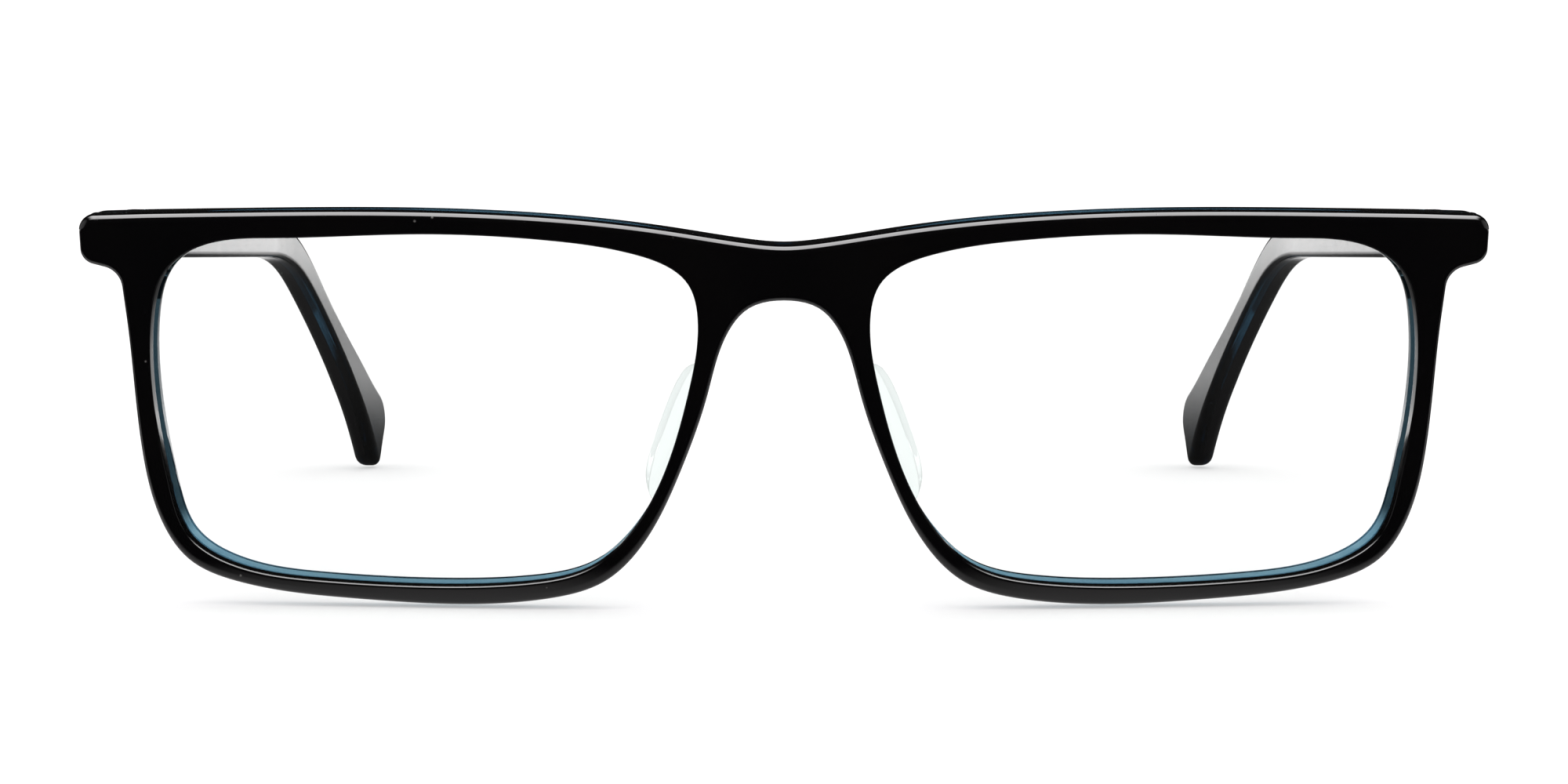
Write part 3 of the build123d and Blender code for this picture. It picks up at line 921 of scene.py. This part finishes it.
fit(black_front, [black_acetate, black_fused], "front", "front_outer_layer")
fit(crystal_front, [crystal_acetate], "front", "front_inner_layer")
for side, word in side_name.items():
    temple = f"{word}_temple"
    fit(lenses[side], [clear_lens], "front", f"lens_{word}")
    fit(pads[side], [clear_acetate], "front", f"nose_pad_{word}")
    fit(black_temples[side], [black_acetate, black_fused], temple,
        f"temple_outer_layer_{word}")
    fit(crystal_temples[side], [crystal_acetate], temple, f"temple_inner_layer_{word}")
print("pieces fitted")

# %% [markdown]
# ## The table and the light
# The spectacles stand open on a white table under one large overhead softbox. A polished black object shows
# only what it reflects, so the mirror-like rays get a studio of their own: a bright panel overhead, a painted
# reflection of a pale table behind and under the frame (a glow that only these rays see, with painted shade
# under the frame), and darkness in front of it and round the horizon. That gives the single clean highlight
# along the brow and leaves the face black.

# %% Table
TABLE_HALF = 3.0
FLOOR_GLOW = 0.3  # share of the table that is lit from below, which softens the shadows
BOW_MIDDLE = (0, (float(front_base[1]) + BOW) * MM, 0)
table_mesh = bmesh.new()
bmesh.ops.create_grid(table_mesh, x_segments=6, y_segments=6, size=TABLE_HALF)
floor_data = bpy.data.meshes.new("table_top")
table_mesh.to_mesh(floor_data)
table_mesh.free()
floor = bpy.data.objects.new("table_top", floor_data)
floor.location = (0, 0, -0.0003)
bpy.context.scene.collection.objects.link(floor)

white_table, tree, shader = finish_named("white_table")
shader.inputs["Roughness"].default_value = 0.9
shader.inputs["Specular IOR Level"].default_value = 0.0
paper = tint_between(tree, noise(tree, place_on(tree), 0.02), (0.86, 0.86, 0.86), (0.88, 0.88, 0.88))
tree.links.new(paper, shader.inputs["Base Color"])
# Painted reflection: for mirror-like rays the table is not lit but glows with an emission. The emission is
# black more than 14 mm in front of the frame's bow and dims under the frame. It grows brighter further back.
spot = node(tree, "ShaderNodeNewGeometry").outputs["Position"]
flat_spot = node(tree, "ShaderNodeVectorMath", {"operation": "MULTIPLY"}, i0=spot, i1=(1, 1, 0)).outputs[0]
reach = node(tree, "ShaderNodeVectorMath", {"operation": "DISTANCE"},
             i0=flat_spot, i1=BOW_MIDDLE).outputs["Value"]
painted_reflection_near_edge = between(tree, reach, (BOW + 14) * MM, (BOW + 2) * MM, 0.0, 1.0)
depth_back = node(tree, "ShaderNodeSeparateXYZ", None, Vector=spot).outputs["Y"]
painted_reflection_reach = node(tree, "ShaderNodeMath", {"operation": "MAXIMUM"}, i0=painted_reflection_near_edge,
                i1=between(tree, depth_back, 0.1, 0.12, 0.0, 1.0)).outputs[0]
# painted shade in the reflection: the mirrored table dims from 0.65 to 0.10 between y = -0.05 and 0.01 m, under
# the frame
painted_shade_under_rim = between(tree, depth_back, -0.05, 0.01, 0.65, 0.10)
# painted reflection: middle and far make the mirrored table brighter again further behind the frame
middle = between(tree, depth_back, 0.09, 0.26, 0.0, 0.9)
far = between(tree, depth_back, 0.30, 0.90, 0.0, 1.3)
painted_reflection_strength = painted_shade_under_rim
for more in (middle, far):
    painted_reflection_strength = node(tree, "ShaderNodeMath", {"operation": "ADD"}, i0=painted_reflection_strength, i1=more).outputs[0]
painted_table_reflection = node(tree, "ShaderNodeEmission", None, Color=(1.0, 0.985, 0.99, 1),
                      Strength=multiply(tree, painted_reflection_reach, painted_reflection_strength))
rays = node(tree, "ShaderNodeLightPath")
bounced = node(tree, "ShaderNodeMath", {"operation": "ADD"}, i0=rays.outputs["Diffuse Depth"],
               i1=rays.outputs["Is Transmission Ray"]).outputs[0]
direct = node(tree, "ShaderNodeMath", {"operation": "LESS_THAN"}, i0=bounced, i1=0.5).outputs[0]
seen_in_gloss = multiply(tree, rays.outputs["Is Glossy Ray"], direct)
# Painted shade: rays seen through the crystal find the table painted black beyond 67-85 mm to either side. This
# darkens the crystal walls and temples.
off_side = node(tree, "ShaderNodeMath", {"operation": "ABSOLUTE"}, i0=node(
    tree, "ShaderNodeSeparateXYZ", None, Vector=spot).outputs["X"]).outputs[0]
not_lit = node(tree, "ShaderNodeMath", {"operation": "LESS_THAN"}, i0=rays.outputs["Diffuse Depth"], i1=0.5)
seen_through = multiply(tree, rays.outputs["Is Transmission Ray"], not_lit.outputs[0])
painted_shade_through_crystal = multiply(tree, seen_through, between(tree, off_side, 0.067, 0.085, 0.0, 0.85))
# shade is an emission of nothing: the table painted black for those rays
shade = node(tree, "ShaderNodeEmission", None, Strength=0.0)
glow = node(tree, "ShaderNodeEmission", None, Strength=1.1)
top = node(tree, "ShaderNodeMixShader", None, i0=FLOOR_GLOW, i1=shader.outputs[0], i2=glow.outputs[0])
top = node(tree, "ShaderNodeMixShader", None, i0=painted_shade_through_crystal, i1=top.outputs[0], i2=shade.outputs[0])
# mirror-like rays see the painted table reflection in place of the lit table
top = node(tree, "ShaderNodeMixShader", None, i0=seen_in_gloss, i1=top.outputs[0], i2=painted_table_reflection.outputs[0])
tree.links.new(top.outputs[0], tree.nodes["Material Output"].inputs["Surface"])
floor_data.materials.append(white_table)
print("table made")

# %% Soft light all round, with a studio for mirror-like rays
GLOSS_PANEL = 11.0
WING_PANEL = 0.6  # faint panels far left and right, seen only in the rounded edges
BESIDE = 0.25
DARK = 0.012
SOFT = 1.45
world = bpy.data.worlds.new("studio")
world.use_nodes = True
world.cycles.sampling_method = "NONE"  # every ray asks the sky itself, so its kind is always right
bpy.context.scene.world = world
tree = world.node_tree
sky = tree.nodes["Background"]
direction = node(tree, "ShaderNodeTexCoord").outputs["Generated"]
parts = node(tree, "ShaderNodeSeparateXYZ", None, Vector=direction)
flat_y = node(tree, "ShaderNodeMath", {"operation": "POWER"}, i0=node(
    tree, "ShaderNodeMath", {"operation": "ABSOLUTE"}, i0=parts.outputs["Y"]).outputs[0], i1=2.0).outputs[0]
flat_z = node(tree, "ShaderNodeMath", {"operation": "POWER"}, i0=node(
    tree, "ShaderNodeMath", {"operation": "MAXIMUM"}, i0=parts.outputs["Z"], i1=0.0).outputs[0],
    i1=2.0).outputs[0]
both = node(tree, "ShaderNodeMath", {"operation": "ADD"}, i0=flat_y, i1=flat_z).outputs[0]
lift = node(tree, "ShaderNodeMath", {"operation": "DIVIDE"}, i0=flat_z,
            i1=node(tree, "ShaderNodeMath", {"operation": "MAXIMUM"}, i0=both, i1=1e-5).outputs[0]).outputs[0]
overhead = between(tree, lift, 0.44, 0.56, 0.0, 1.0)
sideways = node(tree, "ShaderNodeMath", {"operation": "ABSOLUTE"}, i0=parts.outputs["X"]).outputs[0]
overhead = multiply(tree, overhead, between(tree, sideways, 0.45, 0.75, 1.0, 0.0))
overhead = multiply(tree, overhead, between(tree, parts.outputs["Y"], 0.14, 0.32, 1.0, 0.0))
behind = multiply(tree, between(tree, parts.outputs["Y"], 0.90, 0.95, 0.0, 1.0),
                  between(tree, sideways, 0.058, 0.075, 1.0, 0.0))
beside = multiply(tree, between(tree, parts.outputs["Y"], 0.86, 0.92, 0.0, BESIDE),
                  between(tree, sideways, 0.30, 0.45, 1.0, 0.0))
behind = node(tree, "ShaderNodeMath", {"operation": "MAXIMUM"}, i0=behind, i1=beside).outputs[0]
wings = between(tree, sideways, 0.78, 0.92, 0.0, WING_PANEL)


def panel(amount, strength, rest):
    return node(tree, "ShaderNodeMath", {"operation": "MULTIPLY_ADD"},
                i0=amount, i1=strength, i2=rest).outputs[0]


def choose(switch, off, on):
    return node(tree, "ShaderNodeMix", {"data_type": "FLOAT"}, i0=switch, i2=off, i3=on).outputs[0]


rays = node(tree, "ShaderNodeLightPath")
mirror_view = panel(overhead, GLOSS_PANEL, panel(wings, 1.0, DARK))
through_view = panel(node(tree, "ShaderNodeMath", {"operation": "MAXIMUM"}, i0=overhead, i1=behind).outputs[0],
                     1.3, DARK)
after_cloth = node(tree, "ShaderNodeMath", {"operation": "GREATER_THAN"}, i0=rays.outputs["Diffuse Depth"],
                   i1=0.5).outputs[0]
strength = choose(rays.outputs["Is Glossy Ray"], SOFT, mirror_view)
strength = choose(rays.outputs["Is Transmission Ray"], strength, through_view)
strength = choose(after_cloth, strength, SOFT)
tree.links.new(strength, sky.inputs["Strength"])
sky.inputs["Color"].default_value = (1.0, 0.985, 0.99, 1)
print("studio made")

# %% [markdown]
# ## Camera
# A long lens a little above the brow, looking straight at the bridge and slightly down.

# %% Camera
CAMERA_BACK = 347.7
CAMERA_HEIGHT = 49.3
CAMERA_TILT = 4.58
camera_data = bpy.data.cameras.new("camera")
camera_data.lens, camera_data.sensor_width = 81.0, 36.0
camera_data.clip_start, camera_data.clip_end = 0.01, 20
camera = bpy.data.objects.new("camera", camera_data)
camera.location = (0, (front_base[1] - CAMERA_BACK) * MM, (CAMERA_HEIGHT + front_base[2]) * MM)
camera.rotation_euler = (radians(90 - CAMERA_TILT), 0, 0)
bpy.context.scene.collection.objects.link(camera)
bpy.context.scene.camera = camera
bpy.context.scene.view_settings.view_transform = "Standard"
print("camera at", tuple(round(c, 4) for c in camera.location))
